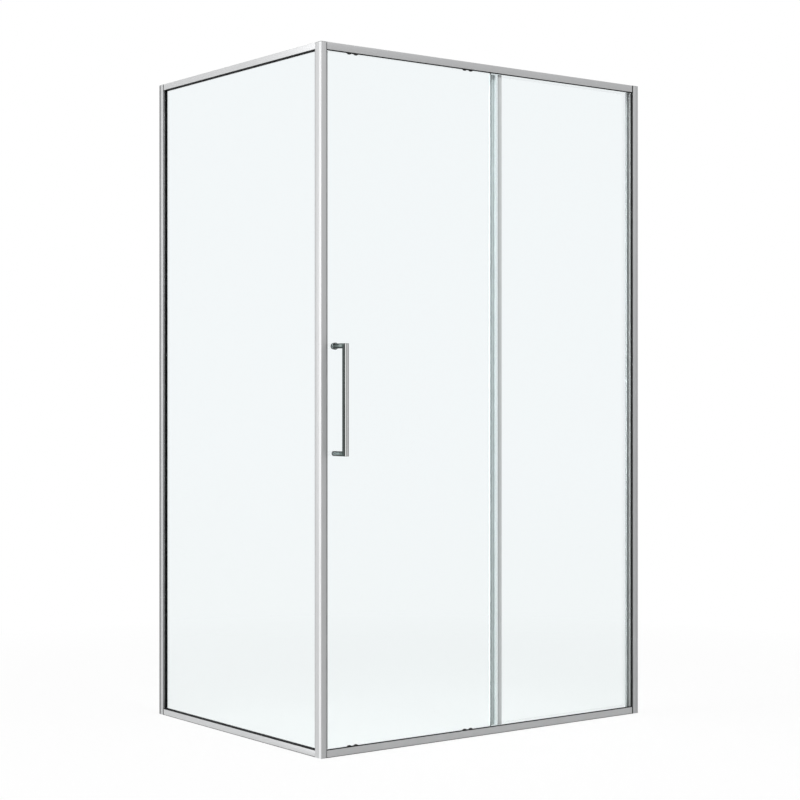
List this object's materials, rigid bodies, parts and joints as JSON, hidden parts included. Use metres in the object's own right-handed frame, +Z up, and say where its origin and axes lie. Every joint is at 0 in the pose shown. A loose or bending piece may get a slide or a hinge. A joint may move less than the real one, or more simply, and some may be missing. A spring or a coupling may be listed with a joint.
{
  "type": "shower enclosure",
  "caption": "Framed corner shower enclosure with a roller-hung sliding glass door beside a fixed pane, a glass side panel and a square bar handle.",
  "frame": {"origin": "centre of the outer box, on the tray", "axes": "+X to the right along the front as seen from outside, +Y from the front into the shower, +Z up"},
  "size_m": [1.196, 0.934, 1.95],
  "materials": {
    "frame_aluminium": "satin silver",
    "pane_glass": "clear toughened",
    "dark_rubber": "matt",
    "grey_strip": "satin grey",
    "clear_seal": "translucent",
    "cap_plastic": "moulded grey",
    "block_plastic": "moulded dark grey",
    "carriage_plastic": "moulded dark grey",
    "wheel_plastic": "turned acetal",
    "handle_chrome": "polished",
    "pad_dark": "matt"
  },
  "bodies": {
    "root": {"sill": "frame_aluminium", "header": "frame_aluminium", "sill_wiper": "dark_rubber", "header_wiper": "dark_rubber", "sill_filler": "cap_plastic", "header_filler": "cap_plastic", "end_blocks_left": "block_plastic", "end_blocks_right": "block_plastic", "corner_post": "frame_aluminium", "corner_cap": "cap_plastic", "strike_seal": "clear_seal", "front_jamb": "frame_aluminium", "side_jamb": "frame_aluminium", "front_wall_profile": "frame_aluminium", "side_wall_profile": "frame_aluminium", "wall_profile_caps": "cap_plastic", "corner_infills": "dark_rubber", "jamb_trim": "dark_rubber", "fixed_glass": "pane_glass", "fixed_gasket_bottom": "dark_rubber", "fixed_gasket_top": "dark_rubber", "fixed_gasket_jamb": "clear_seal", "fixed_edge_strip": "grey_strip", "setting_blocks": "block_plastic", "side_bottom_rail": "frame_aluminium", "side_top_rail": "frame_aluminium", "side_stile": "frame_aluminium", "side_glass": "pane_glass", "side_gasket_bottom": "dark_rubber", "side_gasket_top": "dark_rubber", "side_gasket_front": "dark_rubber", "side_gasket_rear": "dark_rubber"},
    "door": {"door_glass": "pane_glass", "door_leading_seal": "clear_seal", "door_trailing_strip": "grey_strip", "lower_carriages": "carriage_plastic", "upper_carriages": "carriage_plastic", "handle": "handle_chrome", "handle_pad": "pad_dark", "handle_bolts": "handle_chrome"},
    "upper_wheel_1": {"upper_wheel_1": "wheel_plastic"},
    "upper_wheel_2": {"upper_wheel_2": "wheel_plastic"},
    "upper_wheel_3": {"upper_wheel_3": "wheel_plastic"},
    "upper_wheel_4": {"upper_wheel_4": "wheel_plastic"},
    "lower_wheel_1": {"lower_wheel_1": "wheel_plastic"},
    "lower_wheel_2": {"lower_wheel_2": "wheel_plastic"},
    "lower_wheel_3": {"lower_wheel_3": "wheel_plastic"},
    "lower_wheel_4": {"lower_wheel_4": "wheel_plastic"}
  },
  "joints": [
    {"name": "door_slide", "type": "slide", "parent": "root", "child": "door", "axis": [1, 0, 0], "range_m": [0, 0.52]},
    {"name": "upper_wheel_1_spin", "type": "hinge", "parent": "door", "child": "upper_wheel_1", "pos_m": [-0.49925, -0.41255, 1.9377], "axis": [0, 1, 0], "continuous": true},
    {"name": "upper_wheel_2_spin", "type": "hinge", "parent": "door", "child": "upper_wheel_2", "pos_m": [-0.47675, -0.41255, 1.9377], "axis": [0, 1, 0], "continuous": true},
    {"name": "upper_wheel_3_spin", "type": "hinge", "parent": "door", "child": "upper_wheel_3", "pos_m": [-0.09025, -0.41255, 1.9377], "axis": [0, 1, 0], "continuous": true},
    {"name": "upper_wheel_4_spin", "type": "hinge", "parent": "door", "child": "upper_wheel_4", "pos_m": [-0.06775, -0.41255, 1.9377], "axis": [0, 1, 0], "continuous": true},
    {"name": "lower_wheel_1_spin", "type": "hinge", "parent": "door", "child": "lower_wheel_1", "pos_m": [-0.49925, -0.41255, 0.0123], "axis": [0, 1, 0], "continuous": true},
    {"name": "lower_wheel_2_spin", "type": "hinge", "parent": "door", "child": "lower_wheel_2", "pos_m": [-0.47675, -0.41255, 0.0123], "axis": [0, 1, 0], "continuous": true},
    {"name": "lower_wheel_3_spin", "type": "hinge", "parent": "door", "child": "lower_wheel_3", "pos_m": [-0.09025, -0.41255, 0.0123], "axis": [0, 1, 0], "continuous": true},
    {"name": "lower_wheel_4_spin", "type": "hinge", "parent": "door", "child": "lower_wheel_4", "pos_m": [-0.06775, -0.41255, 0.0123], "axis": [0, 1, 0], "continuous": true}
  ],
  "couplings": [
    {"joint": "upper_wheel_1_spin", "follows": "door_slide", "rad_per_m": 166.67},
    {"joint": "upper_wheel_2_spin", "follows": "door_slide", "rad_per_m": 166.67},
    {"joint": "upper_wheel_3_spin", "follows": "door_slide", "rad_per_m": 166.67},
    {"joint": "upper_wheel_4_spin", "follows": "door_slide", "rad_per_m": 166.67},
    {"joint": "lower_wheel_1_spin", "follows": "door_slide", "rad_per_m": -166.67},
    {"joint": "lower_wheel_2_spin", "follows": "door_slide", "rad_per_m": -166.67},
    {"joint": "lower_wheel_3_spin", "follows": "door_slide", "rad_per_m": -166.67},
    {"joint": "lower_wheel_4_spin", "follows": "door_slide", "rad_per_m": -166.67}
  ]
}
